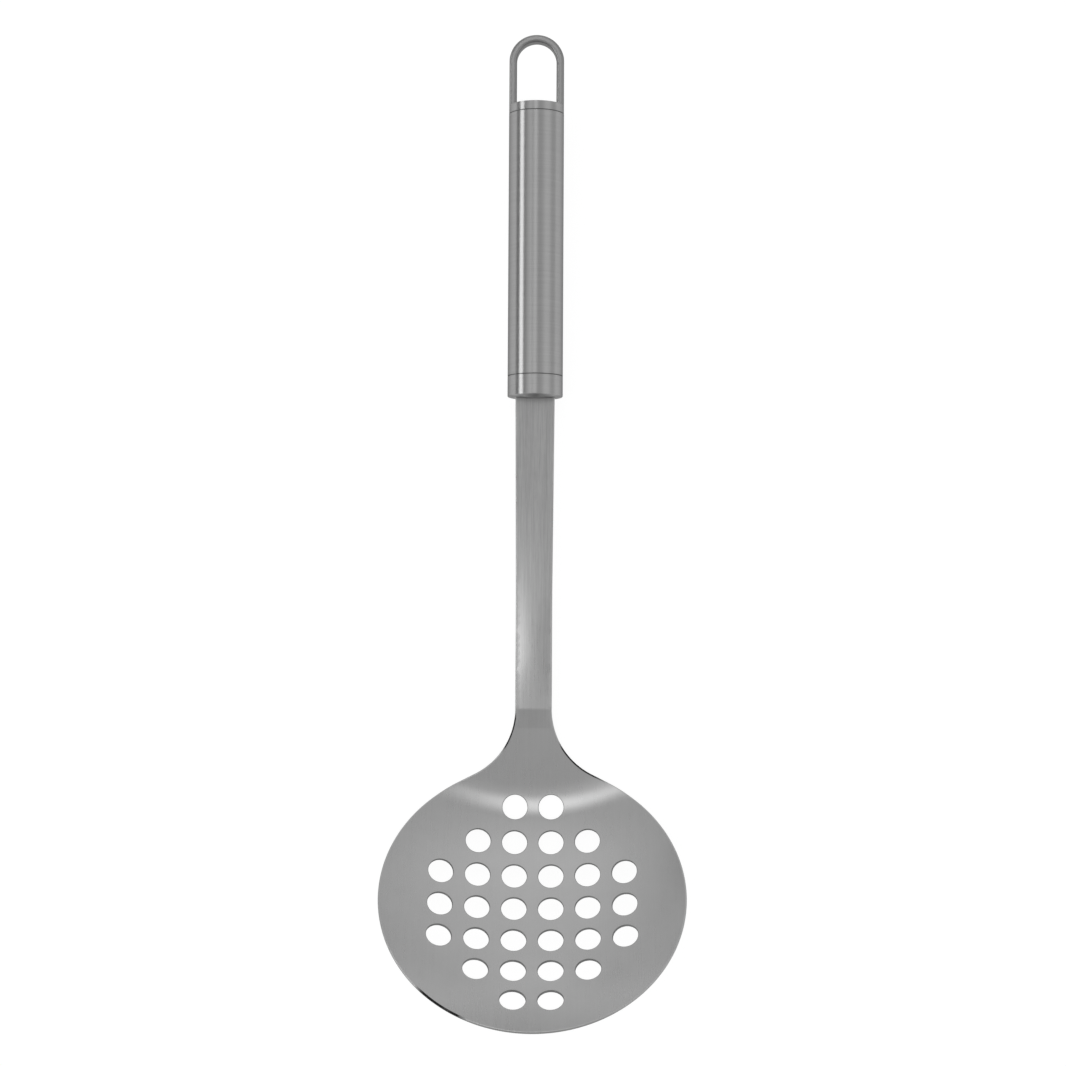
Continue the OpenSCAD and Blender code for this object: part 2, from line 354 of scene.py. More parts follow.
@dataclass
class Effects:
    """The surface effects that the finishes share, each a node group with one output that is built once."""

    line_slowness: float = 0.03
    line_layers: tuple[tuple[float, float], ...] = ((0.06, 0.25), (0.2, 0.45), (1.0, 0.3))
    broad_scale: float = 28.0
    broad_detail: float = 3.0
    broad_share: float = 0.7
    small_scale: float = 140.0
    small_share: float = 0.3
    edge_scale: float = 260.0
    edge_least: float = 0.55
    edge_uneven: float = 0.7
    noise_middle: float = 0.5
    mark_tone: float = 0.14
    darkest: float = 0.06
    line_gloss: float = 0.10
    edge_gloss: float = -0.06
    groups: dict[str, bpy.types.NodeTree] = field(default_factory=dict)

    def __post_init__(self) -> None:
        """Builds the groups."""
        self.brushing_lines()
        self.hand_marks()
        self.edge_wear_and_painted_light()
        self.steel_tone()
        self.steel_gloss()

    def place(self, wires: Wiring, name: str, inputs: dict[str, object]) -> bpy.types.NodeSocket:
        """Puts a group into a material, and gives the socket of its output."""
        return wires.add("Group", inputs, node_tree=self.groups[name], label=name).outputs[0]

    def begin(self, name: str, inputs: dict[str, str], output: str,
              kind: str = "Float") -> tuple[Wiring, bpy.types.bpy_prop_collection, bpy.types.Node]:
        """Starts a group with its sockets.

        Args:
            name: Name of the group.
            inputs: Socket name to kind, Vector or Float.
            output: Name of the output.
            kind: Kind of the output, Float or Color.

        Returns:
            The tree, the sockets that give the group's inputs, and the node that takes its output.
        """
        tree = bpy.data.node_groups.new(name, "ShaderNodeTree")
        for socket, sort in inputs.items():
            tree.interface.new_socket(socket, in_out="INPUT", socket_type=f"NodeSocket{sort}")
        tree.interface.new_socket(output, in_out="OUTPUT", socket_type=f"NodeSocket{kind}")
        self.groups[name] = tree
        return Wiring(tree), tree.nodes.new("NodeGroupInput").outputs, tree.nodes.new("NodeGroupOutput")

    def brushing_lines(self) -> None:
        """Builds the long, fine lines of a brushed face from its grain coordinates."""
        wires, given, out = self.begin("Brushing lines", {"Grain": "Vector", "Across": "Float"}, "Lines")
        parts = wires.add("SeparateXYZ", {0: given["Grain"]})
        fine = wires.scaled(given["Across"], 1.0 / MM)
        slow = wires.scaled(fine, self.line_slowness)
        spread = wires.add("CombineXYZ", {0: wires.scaled(parts.outputs[0], fine),
                                          1: wires.scaled(parts.outputs[1], slow)}).outputs[0]
        layers = [wires.scaled(wires.noise(spread, scale), share) for scale, share in self.line_layers]
        wires.feed(out, {"Lines": wires.total(*layers)})

    def hand_marks(self) -> None:
        """Builds broad, faint marks of handling and wiping."""
        wires, given, out = self.begin("Hand marks", {"Place": "Vector"}, "Marks")
        broad = wires.noise(given["Place"], self.broad_scale, self.broad_detail)
        small = wires.noise(given["Place"], self.small_scale)
        both = wires.total(wires.scaled(broad, self.broad_share), wires.scaled(small, self.small_share))
        wires.feed(out, {"Marks": both})

    def edge_wear_and_painted_light(self) -> None:
        """Builds the uneven strength of the edge marks: rubbed, ground edges and dark seams, and on the
        blade painted shade, painted highlight and painted dark reflections.
        """
        wires, given, out = self.begin("Worn edge and painted light", {"Mark": "Float", "Place": "Vector"}, "Wear and painted light")
        uneven = wires.scaled(wires.noise(given["Place"], self.edge_scale), self.edge_uneven)
        share = wires.total(uneven, self.edge_least)
        wires.feed(out, {"Wear and painted light": wires.scaled(given["Mark"], share)})

    def steel_tone(self) -> None:
        """Builds the colour of the steel from its lines, hand marks and edge marks; the edge marks also
        paint the blade's shade, highlight and dark reflections into the colour.
        """
        names = ("Grey", "Line tone", "Edge tone", "Lines", "Marks", "Wear and painted light")
        wires, given, out = self.begin("Steel tone", dict.fromkeys(names, "Float"), "Colour", "Color")
        lines = wires.scaled(given["Lines"], given["Line tone"], self.noise_middle)
        marks = wires.scaled(given["Marks"], self.mark_tone, self.noise_middle)
        edge = wires.scaled(given["Wear and painted light"], given["Edge tone"])
        share = wires.math("MAXIMUM", wires.total(lines, marks, edge, 1.0), self.darkest)
        value = wires.scaled(given["Grey"], share)
        colour = wires.add("CombineColor", dict.fromkeys(range(3), value))
        wires.feed(out, {"Colour": colour.outputs[0]})

    def steel_gloss(self) -> None:
        """Builds the roughness of the steel from its lines, hand marks and edge marks, which also carry the
        blade's painted light.
        """
        names = ("Roughness", "Mark gloss", "Lines", "Marks", "Wear and painted light")
        wires, given, out = self.begin("Steel gloss", dict.fromkeys(names, "Float"), "Roughness")
        lines = wires.scaled(given["Lines"], self.line_gloss, self.noise_middle)
        marks = wires.scaled(given["Marks"], given["Mark gloss"], self.noise_middle)
        edge = wires.scaled(given["Wear and painted light"], self.edge_gloss)
        wires.feed(out, {"Roughness": wires.total(lines, marks, edge, given["Roughness"])})


@dataclass(frozen=True)
class SteelFinish:
    """Satin stainless steel with hand marks, rubbed edges, painted shade and highlight from the edge marks,
    and brushing lines that fade where it is pressed.
    """

    name: str
    grey: float = 0.36
    roughness: float = 0.30
    anisotropy: float = 0.5
    rim_tint: float = 0.55
    lines: float = 9.0
    line_depth: float = 0.05
    line_height: float = 0.1
    line_tone: float = 0.45
    pressed_lines: float = 1.0
    pressed_below: float = -96.0
    pressed_full: float = -120.0
    marks: float = 0.05
    # Strength of the edge marks in the colour, the blade's painted shade and highlight included.
    wear_and_painted_light: float = 0.25

    def material(self, effects: Effects) -> bpy.types.Material:
        """Makes the material.

        Args:
            effects: The shared effects.

        Returns:
            The new material.
        """
        made = bpy.data.materials.new(self.name)
        made.use_nodes = True
        wires = Wiring(made.node_tree)
        place = wires.add("TexCoord").outputs["Object"]
        grain = wires.add("UVMap", uv_map=GRAIN).outputs["UV"]
        mark = wires.add("Attribute", attribute_name=WEAR_AND_PAINTED_LIGHT).outputs["Fac"]
        lines = effects.place(wires, "Brushing lines", {"Grain": grain, "Across": self.lines})
        marks = effects.place(wires, "Hand marks", {"Place": place})
        worn_and_painted = effects.place(wires, "Worn edge and painted light", {"Mark": mark, "Place": place})
        along = wires.add("SeparateXYZ", {0: grain}).outputs[1]
        kept = wires.add("MapRange", {"Value": along, "From Min": self.pressed_full * MM,
                                      "From Max": self.pressed_below * MM, "To Min": self.pressed_lines,
                                      "To Max": 1.0}).outputs[0]
        surface = {"Lines": lines, "Marks": marks, "Wear and painted light": worn_and_painted}
        tone = effects.place(wires, "Steel tone", surface | {
            "Grey": self.grey, "Line tone": wires.scaled(kept, self.line_tone), "Edge tone": self.wear_and_painted_light})
        gloss = effects.place(wires, "Steel gloss", surface | {
            "Roughness": self.roughness, "Mark gloss": self.marks})
        bump = wires.add("Bump", {"Strength": wires.scaled(kept, self.line_depth),
                                  "Distance": self.line_height * MM, "Height": lines})
        tangent = wires.add("Tangent", direction_type="UV_MAP", uv_map=GRAIN)
        wires.feed(made.node_tree.nodes["Principled BSDF"], {
            "Base Color": tone,
            "Roughness": gloss,
            "Metallic": 1.0,
            "Anisotropic": self.anisotropy,
            "Specular Tint": plain_grey(self.rim_tint),
            "Normal": bump.outputs["Normal"],
            "Tangent": tangent.outputs["Tangent"],
        })
        return made


# Pieces


@dataclass(frozen=True)
class Attitude:
    """How the tool lies on the table: pitched about X, then moved to the row's origin."""

    pitch: float = 2.05491
    shift_y: float = 44.7999
    shift_z: float = 9.9654

    def matrix(self) -> Matrix:
        """Gives the matrix from the tool's frame to the row's, for meshes in metres."""
        move = Matrix.Translation((0.0, self.shift_y * MM, self.shift_z * MM))
        return move @ Matrix.Rotation(math.radians(self.pitch), 4, "X")


@dataclass
class Piece:
    """A piece of the tool that stands for one node of the frame."""

    node: str
    slot: str
    finish: SteelFinish
    attitude: Attitude = field(default_factory=Attitude)

    def shape(self) -> Shell:
        """Draws the piece; each kind of piece has its own way."""
        raise NotImplementedError

    def dress(self, effects: Effects) -> bpy.types.Material:
        """Makes the material of the piece from the shared effects."""
        return self.finish.material(effects)

    def build(self, effects: Effects) -> bpy.types.Object:
        """Makes the dressed piece and sets it in the frame.

        Args:
            effects: The shared effects.

        Returns:
            The new object.
        """
        piece = self.shape().make(self.attitude.matrix(), self.dress(effects))
        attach(piece, BODY)
        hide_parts(self.node)
        log.info("%s: %d points, %d faces", piece.name, len(piece.data.vertices), len(piece.data.polygons))
        return piece


class Face(Enum):
    """A face of the blade, with its side of mid thickness."""

    HOLLOW = 1
    MIDDLE = 0
    BACK = -1


@dataclass(frozen=True)
class BladeNet:
    """How finely the blade is drawn: counts of points, steps and clearances."""

    step: float = 1.3
    row_share: float = 0.87
    columns: int = 60
    clear: float = 0.55
    rim: int = 190
    ease: int = 10
    shoulder: int = 9
    flare: int = 44
    waist: int = 28
    taper: int = 48
    tang: int = 14
    end: int = 7
    hole: int = 56
    rounding: int = 4
    crease_gaps: tuple[float, ...] = (-0.55, -0.3, -0.12, 0.0, 0.12, 0.3, 0.55)
    crease_reach: float = 10.0
    crease_step: float = 0.8
    probe: float = 0.02
    search: float = 260.0
    halvings: int = 48
    batch: int = 40


@dataclass
class Blade(Piece):
    """Bowl, neck, stem and tang, pressed from one strip. An edge is given as its mark, rounding and lip."""

    bowl_d: float = 107.5
    bowl_r: float = 150.0
    bowl_tilt: float = 35.0
    sheet_t: float = 1.0
    hole_d: float = 9.0
    hole_pitch: float = 13.0
    hole_border: float = 9.0
    neck_len: float = 26.0
    neck_lean: float = 9.0
    bend_r: float = 25.0
    bend_inset: float = 18.0
    bend_ease: float = 30.0
    shoulder_w: float = 60.0
    shoulder_slope: float = 26.5
    shoulder_ease: float = 4.0
    stem_len: float = 112.0
    stem_t: float = 2.0
    stem_w: float = 14.2
    stem_bow: float = 0.5
    stem_crown: float = 0.06
    stem_swell: float = 0.45
    swell_from_crease: float = 20.0
    swell_above: float = 34.0
    swell_below: float = 14.0
    waist_w: float = 13.1
    waist_len: float = 42.0
    waist_gap: float = 1.0
    thinning_len: float = 7.0
    crown_past: float = 1.2
    crease_soft: float = 0.012
    crease_reach: float = 3.0
    foot_soft: float = 0.006
    foot_reach: float = 1.5
    tang_len: float = 32.0
    rim_edge: tuple[float, float, float] = (0.3, 0.35, 0.06)
    # Painted dark reflection along the outline at both flares and beside the tip.
    painted_dark_edge: tuple[float, float, float] = (-4.2, 0.45, 0.1)
    # Painted shade on the walls of the drain holes.
    hole_edge_painted_shade: tuple[float, float, float] = (-2.2, 0.15, 0.06)
    # Where the painted dark reflection lies along the outline.
    painted_dark_left: float = 8.0
    painted_dark_right: float = 19.0
    painted_dark_reach: float = 7.5
    painted_dark_fade: float = 3.0
    tip_painted_dark_turn: float = -126.0
    tip_painted_dark_reach: float = 12.0
    # Painted highlight on the bowl and lower stem, painted shade on the stem towards the cap.
    painted_light_at: tuple[float, ...] = (0.0, 0.1, 0.3, 0.5, 0.75, 1.0)
    painted_light_tone: tuple[float, ...] = (0.3, 0.4, 0.2, -0.1, -0.5, -0.5)
    net: BladeNet = field(default_factory=BladeNet)

    def __post_init__(self) -> None:
        """Derives the places that the form is built on, as the solids have them."""
        self.lean = math.radians(self.neck_lean)
        tilt = math.radians(self.bowl_tilt)
        c, s = math.cos(self.lean), math.sin(self.lean)
        self.rim_r = self.bowl_d / 2
        bend_turn = tilt + self.lean - math.asin((self.rim_r - self.bend_inset) / self.bowl_r)
        self.sphere_rise = self.bend_r + (self.bowl_r - self.bend_r) * math.cos(bend_turn)
        self.ease_turn = math.acos((self.sphere_rise - self.bend_ease) / (self.bowl_r - self.bend_ease))
        self.ease_axis_r = (self.bowl_r - self.bend_ease) * math.sin(self.ease_turn)
        self.crease_y = -self.stem_len
        self.crease_along = self.neck_len - (self.bowl_r - self.bend_r) * math.sin(bend_turn)
        self.foot_along = self.crease_along - self.thinning_len
        self.neck_origin = np.array([0.0, self.crease_y - self.crease_along * c, -self.crease_along * s])
        self.neck_turn = np.array([[1.0, 0.0, 0.0], [0.0, c, -s], [0.0, s, c]])
        self.bowl_centre = self.neck_origin + self.sphere_rise * self.neck_turn[:, 2]
        self.rim_up = np.array([0.0, math.sin(tilt), math.cos(tilt)])
        self.rim_axes = np.array([[1.0, 0.0, 0.0], [0.0, math.cos(tilt), -math.sin(tilt)]])

    def to_neck(self, points: np.ndarray) -> np.ndarray:
        """Turns points of the tool's frame into the neck's, with Z along the turning axis."""
        return (points - self.neck_origin) @ self.neck_turn

    def thickened(self, along: np.ndarray, most: float = 1.0) -> np.ndarray:
        """Gives the share of the way from sheet to stem, at places along the neck, up to the most."""
        return np.clip((along - self.foot_along) / self.thinning_len, 0.0, most)

    def crown(self, x: np.ndarray, y: np.ndarray) -> np.ndarray:
        """Gives how far the stem's upper face is rounded up, which is most a little above the crease.

        Args:
            x: Places beside the middle, in the neck's frame.
            y: Places along the neck.

        Returns:
            The added heights.
        """
        off = y - self.crease_along - self.swell_from_crease
        reach = np.where(off > 0, self.swell_above, self.swell_below)
        most = self.stem_crown + self.stem_swell * np.exp(-(off / reach) ** 2)
        return most * np.maximum(1.0 - (2 * x / self.waist_w) ** 2, 0.0)

    def pressed(self, x: np.ndarray, y: np.ndarray, half: float) -> np.ndarray:
        """Gives the height of the flat neck, the bend and the bowl over the neck's plane.

        Args:
            x: Places beside the middle, in the neck's frame.
            y: Places along the neck.
            half: Distance of the face from mid thickness.

        Returns:
            The heights.
        """
        r = np.hypot(x, y)
        bend, ball = self.bend_ease - half, self.bowl_r - half
        reach = bend * math.sin(self.ease_turn)
        into = np.clip(r - self.ease_axis_r, 0.0, reach)
        bent = self.bend_ease - np.sqrt(bend * bend - into * into)
        hollow = self.sphere_rise - np.sqrt(np.maximum(ball * ball - r * r, 1.0))
        return np.where((r > self.ease_axis_r + reach) & (y < 0), hollow, bent)

    def height(self, x: np.ndarray, y: np.ndarray, face: Face) -> np.ndarray:
        """Gives the height of a face of the blade over the neck's plane.

        Args:
            x: Places beside the middle, in the neck's frame.
            y: Places along the neck.
            face: The face.

        Returns:
            The heights.
        """
        half, stem_half = face.value * self.sheet_t / 2, face.value * self.stem_t / 2
        pressed = self.pressed(x, y, half)
        c, t = math.cos(self.lean), math.tan(self.lean)
        level = (stem_half - self.neck_origin[2]) / c
        up = np.clip((y - self.crease_along) / self.stem_len, 0.0, 1.0)
        stem = level - y * t - 4 * self.stem_bow * up * (1 - up)
        top_y = self.crease_along - stem_half * math.tan(self.lean / 2) / c
        slope = (level - top_y * t - half) / (top_y - self.foot_along)
        ramp = half + (y - self.foot_along) * slope
        if face is not Face.HOLLOW:
            return np.where(y > self.foot_along, np.where(y > top_y, stem, ramp), pressed)
        crown = self.crown(x, y)
        stem = stem + crown * self.thickened(y)
        ramp = ramp + crown * self.thickened(y, self.crown_past)
        near = eased_low(stem, ramp, self.crease_soft)
        near = -eased_low(-near, np.full_like(y, -half), self.foot_soft)
        near = np.where(y > self.crease_along + self.crease_reach, stem, near)
        return np.where(y > self.foot_along - self.foot_reach, near, pressed)

    def land(self, starts: np.ndarray, way: np.ndarray, face: Face) -> np.ndarray:
        """Moves points along a direction until they lie on a face of the blade.

        Args:
            starts: Places in the tool's frame.
            way: The direction.
            face: The face.

        Returns:
            The places on the face.
        """
        low = np.full(len(starts), -self.net.search)
        high = np.full(len(starts), self.net.search)
        for _ in range(self.net.halvings):
            middle = (low + high) / 2
            spot = self.to_neck(starts + np.outer(middle, way))
            over = spot[:, 2] > self.height(spot[:, 0], spot[:, 1], face)
            high = np.where(over, middle, high)
            low = np.where(over, low, middle)
        return starts + np.outer((low + high) / 2, way)

    def normal(self, points: np.ndarray, face: Face) -> np.ndarray:
        """Gives the normals of a face, towards the hollow side.

        Args:
            points: Places on the face, in the tool's frame.
            face: The face.

        Returns:
            The normals in the tool's frame.
        """
        x, y, _ = self.to_neck(points).T
        d = self.net.probe
        slope_x = (self.height(x + d, y, face) - self.height(x - d, y, face)) / (2 * d)
        slope_y = (self.height(x, y + d, face) - self.height(x, y - d, face)) / (2 * d)
        n = np.c_[-slope_x, -slope_y, np.ones(len(x))] @ self.neck_turn.T
        return n / np.linalg.norm(n, axis=1)[:, None]

    def rim_spot(self, flat: np.ndarray, face: Face = Face.MIDDLE) -> np.ndarray:
        """Puts places of the rim's plane onto a face, and gives them in the tool's frame."""
        starts = self.bowl_centre + flat @ self.rim_axes - self.bowl_r * self.rim_up
        return self.land(starts, self.rim_up, face)

    def on_rim_plane(self, points: np.ndarray) -> np.ndarray:
        """Gives the places of points in the rim's plane, beside the middle and along it."""
        return (points - self.bowl_centre) @ self.rim_axes.T

    def outline(self) -> np.ndarray:
        """Draws the blade's outline at mid thickness, from the tip round by the right hand side.

        Returns:
            The points of the closed outline, in the tool's frame.
        """
        net, slope = self.net, math.radians(self.shoulder_slope)
        shoulder_x, waist_x, stem_x = self.shoulder_w / 2, self.waist_w / 2, self.stem_w / 2
        up = math.sqrt(self.rim_r ** 2 - shoulder_x ** 2)
        shoulder = self.rim_spot(np.array([[shoulder_x, up]]))[0, :2]
        spread, drop = shoulder_x - waist_x, self.crease_y - shoulder[1]
        flare_r = (drop * math.cos(slope) - spread * math.sin(slope)) / (1 - math.sin(slope))
        last = math.atan2(up, shoulder_x) - self.shoulder_ease / self.rim_r
        turn = np.linspace(-math.pi / 2, last, net.rim)
        rim = self.rim_spot(self.rim_r * np.c_[np.cos(turn), np.sin(turn)])
        leave = shoulder + self.shoulder_ease * np.array([-math.cos(slope), math.sin(slope)])
        t = np.linspace(0.0, 1.0, net.ease)[1:, None]
        eased = (1 - t) ** 2 * rim[-1, :2] + 2 * t * (1 - t) * shoulder + t ** 2 * leave
        sweep = np.linspace(math.pi / 2 - slope, 0.0, net.flare)
        flare = np.c_[waist_x + flare_r * (1 - np.cos(sweep)), self.crease_y - flare_r * np.sin(sweep)]
        runs = [eased, np.linspace(leave, flare[0], net.shoulder)[1:-1], flare]
        stops = [(waist_x, self.crease_y + self.waist_gap), (waist_x, self.crease_y + self.waist_len),
                 (stem_x, 0.0), (stem_x, self.tang_len), (0.0, self.tang_len)]
        runs.append(np.array(stops[:1]))
        for start, stop, count in zip(stops, stops[1:], (net.waist, net.taper, net.tang, net.end)):
            runs.append(np.linspace(start, stop, count)[1:])
        flat = np.vstack(runs)
        upright = np.array([0.0, 0.0, 1.0])
        half = np.vstack([rim, self.land(np.c_[flat, np.zeros(len(flat))], upright, Face.MIDDLE)])
        return np.vstack([half, (half * np.array([-1.0, 1.0, 1.0]))[-2:0:-1]])

    def holes(self) -> list[np.ndarray]:
        """Draws the drain holes at mid thickness, aimed at the middle of the bowl's curve.

        Returns:
            One closed ring of points for each hole.
        """
        reach = self.rim_r - self.hole_border - self.hole_d / 2
        steps = math.ceil(reach / self.hole_pitch)
        turn = np.linspace(0.0, 2 * math.pi, self.net.hole, endpoint=False)
        rings = []
        for row in range(-steps, steps + 1):
            for column in range(-steps, steps):
                flat = self.hole_pitch * np.array([column + 0.5, row])
                if np.hypot(*flat) > reach:
                    continue
                deep = math.sqrt(self.bowl_r ** 2 - flat @ flat)
                way = (flat @ self.rim_axes - deep * self.rim_up) / self.bowl_r
                one = np.cross(way, self.rim_axes[1])
                one /= np.linalg.norm(one)
                ring = np.outer(np.cos(turn), one) + np.outer(np.sin(turn), np.cross(way, one))
                ring = self.bowl_centre + self.bowl_r * way + self.hole_d / 2 * ring
                rings.append(self.land(ring, -way, Face.MIDDLE))
        return rings

    def painted_dark_share(self, ring: np.ndarray) -> np.ndarray:
        """Gives where the outline's edge carries a painted dark reflection: at both flares and beside the
        tip.

        Args:
            ring: Outline at mid thickness, in the tool's frame.

        Returns:
            A share from 0 to 1 for each point.
        """
        place = np.where(ring[:, 0] < 0, self.painted_dark_left, self.painted_dark_right)
        flare = np.abs(self.crease_y - ring[:, 1] - place) / self.painted_dark_reach
        flat = self.on_rim_plane(ring)
        turn = np.degrees(np.arctan2(flat[:, 1], flat[:, 0]))
        tip = np.abs(turn - self.tip_painted_dark_turn) / self.tip_painted_dark_reach
        return np.clip(self.painted_dark_fade * (1.0 - np.minimum(flare, tip)), 0.0, 1.0)[:, None]

    def painted_light_tones(self, points: np.ndarray) -> np.ndarray:
        """Gives the painted light on the hollow side: a painted highlight on the bowl, the neck and the stem
        above the crease, and painted shade on the stem towards the cap.
        """
        up = np.clip((points[:, 1] - self.crease_y) / self.stem_len, 0.0, 1.0)
        return np.interp(up, self.painted_light_at, self.painted_light_tone)

    def rounded_edge(self, shell: Shell, ring: np.ndarray, outwards: float,
                     edge: tuple[float, ...] | np.ndarray) -> tuple[np.ndarray, np.ndarray, np.ndarray]:
        """Adds the sheet's rounded edge along a ring that runs against the clock, seen from the hollow side.

        Args:
            shell: Piece that takes the edge.
            ring: Closed ring at mid thickness.
            outwards: 1 for the outline, -1 for a hole.
            edge: Mark, rounding and lip, for all or for each point.

        Returns:
            The indices on the hollow side and on the back, and the places of the first in the rim's plane.
        """
        n = self.normal(ring, Face.MIDDLE)
        way = np.roll(ring, -1, axis=0) - np.roll(ring, 1, axis=0)
        out = np.cross(way / np.linalg.norm(way, axis=1)[:, None], n) * outwards
        grown = self.thickened(self.to_neck(ring)[:, 1])[:, None]
        half = (self.sheet_t + grown * (self.stem_t - self.sheet_t)) / 2
        tone, e, lip = np.broadcast_to(edge, (len(ring), 3)).T
        e = e[:, None]
        start = ring - out * (e + lip[:, None])
        rows = [shell.add(start + n * half, n, ring[:, :2], self.painted_light_tones(ring))]
        quarter = np.linspace(0.0, math.pi / 2, self.net.rounding + 1)
        for side, first in ((1.0, 0.0), (-1.0, math.pi / 2)):
            for a in first + quarter:
                c, s = math.cos(a), math.sin(a)
                spots = ring + out * e * (s - 1.0) + n * (side * (half - e) + e * c)
                at_back = side < 0 and a == first + quarter[-1]
                rows.append(shell.add(spots, out * s + n * c, ring[:, :2], 0.0 if at_back else tone))
        shell.bridge(rows, True)
        return rows[0], rows[-1], self.on_rim_plane(start)

    def free_points(self, rings: list[np.ndarray]) -> np.ndarray:
        """Spreads points over the sheet, clear of its edges, and in close rows at the creases.

        Args:
            rings: Outline and holes, in the rim's plane.

        Returns:
            The free points, in the rim's plane.
        """
        net, outline = self.net, rings[0]
        low, high = outline[:, 1].min(), outline[:, 1].max()
        rows = []
        for i, v in enumerate(np.arange(low + net.step / 2, high, net.step * net.row_share)):
            x = np.arange(-net.step * net.columns + net.step * (i % 2) / 2, net.step * net.columns, net.step)
            rows.append(np.c_[x, np.full(len(x), v)])
        x = np.arange(-net.crease_reach, net.crease_reach + net.crease_step / 2, net.crease_step)
        for along in (self.crease_along, self.foot_along):
            for gap in net.crease_gaps:
                line = np.c_[x, np.full(len(x), along + gap), np.zeros(len(x))]
                rows.append(self.on_rim_plane(line @ self.neck_turn.T + self.neck_origin))
        spots = np.vstack(rows)
        spots = spots[inside(spots, outline)]
        for ring in rings:
            closed = np.vstack([ring, ring[:1]])
            for start in range(0, len(ring), net.batch):
                part = closed[start:start + net.batch + 1]
                near = np.min(np.linalg.norm(spots[:, None] - part[None], axis=2), axis=1)
                spots = spots[near > net.clear]
            if ring is not outline:
                spots = spots[~inside(spots, ring)]
        return spots

    def shape(self) -> Shell:
        """Draws the blade: two faces over one net of triangles, joined by the rounded edges.

        Returns:
            The drawn piece.
        """
        shell = Shell("blade_sheet")
        outline = self.outline()
        # Painted dark reflection blended into the outline's edge marks.
        painted_dark = self.painted_dark_share(outline)
        edge = (1.0 - painted_dark) * np.array(self.rim_edge) + painted_dark * np.array(self.painted_dark_edge)
        edges = [self.rounded_edge(shell, outline, 1.0, edge)]
        for ring in self.holes():
            x, y = self.on_rim_plane(ring).T
            if np.sum(x * np.roll(y, -1) - np.roll(x, -1) * y) <= 0:
                ring = ring[::-1]
            # Painted shade on each hole's walls.
            edges.append(self.rounded_edge(shell, ring, -1.0, self.hole_edge_painted_shade))
        fronts, backs, flats = (list(rows) for rows in zip(*edges))
        free = self.free_points(flats)
        top, low = self.rim_spot(free, Face.HOLLOW), self.rim_spot(free, Face.BACK)
        # Painted highlight and painted shade on the hollow face.
        fronts.append(shell.add(top, self.normal(top, Face.HOLLOW), top[:, :2], self.painted_light_tones(top)))
        backs.append(shell.add(low, -self.normal(low, Face.BACK), low[:, :2]))
        ends = np.cumsum([0] + [len(flat) for flat in flats])
        loops = [np.arange(first, end) for first, end in zip(ends, ends[1:])]
        net = filled(np.vstack(flats + [free]), loops)
        for rows in (fronts, backs):
            shell.fill(np.concatenate(rows), net)
        return shell


@dataclass
class HandlePiece(Piece):
    """A piece on the round handle."""

    handle_d: float = 20.0

    @property
    def handle_r(self) -> float:
        """The handle's radius."""
        return self.handle_d / 2


@dataclass
class TurnedPiece(HandlePiece):
    """A piece turned about the handle axis, which meets the next one in a dark seam."""

    segments: int = 144
    dome_steps: int = 9
    seam_r: float = 0.22
    seam_tone: float = -2.0

    def turned(self, shell: Shell, path: list[tuple[float, ...]], dome: float = 0.0) -> None:
        """Turns a path about the handle axis and adds it to a piece.

        Args:
            shell: Piece that takes the form.
            path: Corners as distance from the axis, place along it, rounding and edge mark.
            dome: Rise of a domed face that closes the start of the path, 0 for none.
        """
        points, normals, marks = rounded_path(path)
        if dome > 0:
            reach, foot = path[0][:2]
            far = np.linspace(0.0, reach, self.dome_steps, endpoint=False)
            slope = 2 * dome * far / reach ** 2
            facing = np.c_[slope, -np.ones(len(far))]
            points = np.vstack([np.c_[far, foot - dome + dome * (far / reach) ** 2], points])
            normals = np.vstack([facing / np.linalg.norm(facing, axis=1)[:, None], normals])
            marks = np.r_[np.zeros(len(far)), marks]
        around = np.linspace(-math.pi / 2, 1.5 * math.pi, self.segments + 1)
        circle = np.c_[np.cos(around), np.sin(around)]
        rows = []
        for p, n, mark in zip(points, normals, marks):
            run = np.c_[np.full(len(around), p[1] - p[0] * abs(n[1])), self.handle_r * around]
            rows.append(shell.add(stood(p[0] * circle, p[1]), stood(n[0] * circle, n[1]), run, mark))
        for i in range(len(rows) - 1):
            if np.linalg.norm(points[i] - points[i + 1]) > SAME_SPOT:
                shell.bridge(rows[i:i + 2], False)


@dataclass
class Cap(TurnedPiece):
    """A cap of the handle, with a spigot inside the tube."""

    spigot_r: float = 9.15
    spigot_wall: float = 1.2
    spigot_len: float = 7.0


@dataclass
class FrontCap(Cap):
    """Cap that carries the stem and closes the front of the tube."""

    length: float = 8.0
    edge_r: float = 0.35
    edge_w: float = 1.05
    dome: float = 0.6
    floor_t: float = 4.0

    def shape(self) -> Shell:
        """Draws the cap as one turned form with its spigot.

        Returns:
            The drawn piece.
        """
        r, inner = self.handle_r, self.spigot_r - self.spigot_wall
        end = self.length + self.spigot_len
        face_r = r - self.edge_w
        rise = self.dome * (face_r / r) ** 2
        shell = Shell("front_end")
        self.turned(shell, [(face_r, rise, 0.0), (r, self.dome, self.edge_r),
                            (r, self.length, self.seam_r, self.seam_tone), (self.spigot_r, self.length, 0.0),
                            (self.spigot_r, end, 0.0), (inner, end, 0.0), (inner, self.floor_t, 0.0),
                            (0.0, self.floor_t, 0.0)], rise)
        return shell


@dataclass
class HandleTube(TurnedPiece):
    """Plain brushed tube between the caps."""

    start: float = 8.0
    length: float = 96.0
    wall: float = 0.8

    def shape(self) -> Shell:
        """Draws the tube as one turned form.

        Returns:
            The drawn piece.
        """
        r, bore, end = self.handle_r, self.handle_r - self.wall, self.start + self.length
        shell = Shell("grip_tube")
        seam = (self.seam_r, self.seam_tone)
        self.turned(shell, [(bore, self.start, 0.0), (r, self.start, *seam), (r, end, *seam),
                            (bore, end, 0.0), (bore, self.start, 0.0)])
        return shell


